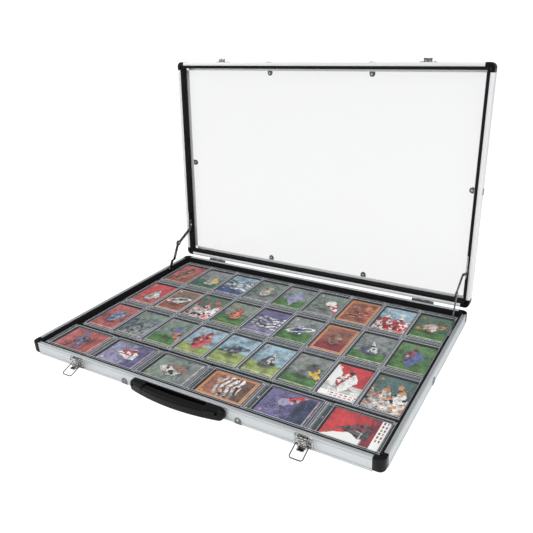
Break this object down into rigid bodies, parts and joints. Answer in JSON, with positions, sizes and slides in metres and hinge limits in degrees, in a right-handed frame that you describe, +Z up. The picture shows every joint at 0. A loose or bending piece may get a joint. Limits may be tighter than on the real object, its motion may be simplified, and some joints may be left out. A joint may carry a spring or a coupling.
{
  "type": "trading card display case",
  "caption": "Slim aluminium display case with a clear hinged lid on folding stays, draw latches, a carry handle and a foam-lined tray of magnetic card holders.",
  "frame": {"origin": "centre of the base's underside, on the pad in the middle of the bottom panel", "axes": "+X to the right along the case's width, +Y from the latches to the hinges, +Z up; the lid is drawn open"},
  "size_m": [0.7032, 0.5533, 0.4906],
  "materials": {
    "aluminium": "brushed",
    "black_plastic": "satin",
    "rubber": "matte",
    "foam": "fine-grained foam",
    "bright_steel": "polished",
    "dark_steel": "satin",
    "clear_window": "polished clear acrylic",
    "clear_holder": "polished clear acrylic",
    "printed_card": "glossy printed card"
  },
  "bodies": {
    "base": {"base_front_rail": "aluminium", "base_rear_rail": "aluminium", "base_left_rail": "aluminium", "base_right_rail": "aluminium", "base_corners": "black_plastic", "bottom_panel": "black_plastic", "base_pads": "rubber", "foam_floor": "foam", "base_liner": "foam", "base_panel_clips": "bright_steel", "base_clip_rivets": "bright_steel", "hinge_base_leaves": "dark_steel", "hinge_pins": "dark_steel", "hinge_base_rivets": "bright_steel", "latch_plates": "bright_steel", "latch_plate_rivets": "bright_steel", "latch_pins": "bright_steel", "handle_mount": "black_plastic", "handle_pins": "bright_steel", "handle_screws": "bright_steel", "stay_base_brackets": "bright_steel", "stay_base_pins": "bright_steel", "stay_base_rivets": "bright_steel", "holder_backs": "clear_holder", "trading_cards": "printed_card", "holder_covers": "clear_holder", "holder_magnets": "bright_steel"},
    "lid": {"lid_front_rail": "aluminium", "lid_rear_rail": "aluminium", "lid_left_rail": "aluminium", "lid_right_rail": "aluminium", "lid_corners": "black_plastic", "lid_window": "clear_window", "lid_liner": "foam", "lid_panel_clips": "bright_steel", "lid_clip_rivets": "bright_steel", "hinge_lid_leaves": "dark_steel", "hinge_lid_rivets": "bright_steel", "strikes": "bright_steel", "strike_rivets": "bright_steel", "stay_lid_brackets": "bright_steel", "stay_lid_pins": "bright_steel", "stay_lid_rivets": "bright_steel"},
    "stay_lower_left": {"stay_lower_left": "bright_steel"},
    "stay_lower_right": {"stay_lower_right": "bright_steel"},
    "stay_upper_left": {"stay_upper_left": "bright_steel"},
    "stay_upper_right": {"stay_upper_right": "bright_steel"},
    "latch_lever_left": {"latch_lever_left": "bright_steel"},
    "latch_lever_right": {"latch_lever_right": "bright_steel"},
    "latch_bail_left": {"latch_bail_left": "bright_steel"},
    "latch_bail_right": {"latch_bail_right": "bright_steel"},
    "handle": {"handle_grip": "black_plastic"}
  },
  "joints": [
    {"name": "lid_hinge", "type": "hinge", "parent": "base", "child": "lid", "pos_m": [0, 0.2322, 0.0241], "axis": [1, 0, 0], "range_deg": [0, 95]},
    {"name": "stay_lower_left_pivot", "type": "hinge", "parent": "base", "child": "stay_lower_left", "pos_m": [-0.3406, 0.152, 0.018], "axis": [1, 0, 0], "range_deg": [0, 106]},
    {"name": "stay_upper_left_pivot", "type": "hinge", "parent": "lid", "child": "stay_upper_left", "pos_m": [-0.3406, 0.24506, 0.10228], "axis": [1, 0, 0], "range_deg": [-124, 0]},
    {"name": "stay_lower_right_pivot", "type": "hinge", "parent": "base", "child": "stay_lower_right", "pos_m": [0.3406, 0.152, 0.018], "axis": [1, 0, 0], "range_deg": [0, 106]},
    {"name": "stay_upper_right_pivot", "type": "hinge", "parent": "lid", "child": "stay_upper_right", "pos_m": [0.3406, 0.24506, 0.10228], "axis": [1, 0, 0], "range_deg": [-124, 0]},
    {"name": "latch_lever_left_pivot", "type": "hinge", "parent": "base", "child": "latch_lever_left", "pos_m": [-0.23, -0.2334, 0.0184], "axis": [1, 0, 0], "range_deg": [-110, 0]},
    {"name": "latch_bail_left_pivot", "type": "hinge", "parent": "latch_lever_left", "child": "latch_bail_left", "pos_m": [-0.23, -0.2334, 0.009], "axis": [-1, 0, 0], "range_deg": [0, 109]},
    {"name": "latch_lever_right_pivot", "type": "hinge", "parent": "base", "child": "latch_lever_right", "pos_m": [0.23, -0.2334, 0.0184], "axis": [1, 0, 0], "range_deg": [-110, 0]},
    {"name": "latch_bail_right_pivot", "type": "hinge", "parent": "latch_lever_right", "child": "latch_bail_right", "pos_m": [0.23, -0.2334, 0.009], "axis": [-1, 0, 0], "range_deg": [0, 109]},
    {"name": "handle_pivot", "type": "hinge", "parent": "base", "child": "handle", "pos_m": [0, -0.2385, 0.012], "axis": [-1, 0, 0], "range_deg": [0, 90]}
  ],
  "couplings": [
    {"joint": "stay_lower_left_pivot", "follows": "lid_hinge", "ratio": 1.1136},
    {"joint": "stay_upper_left_pivot", "follows": "lid_hinge", "ratio": -1.3026},
    {"joint": "stay_lower_right_pivot", "follows": "lid_hinge", "ratio": 1.1136},
    {"joint": "stay_upper_right_pivot", "follows": "lid_hinge", "ratio": -1.3026}
  ]
}
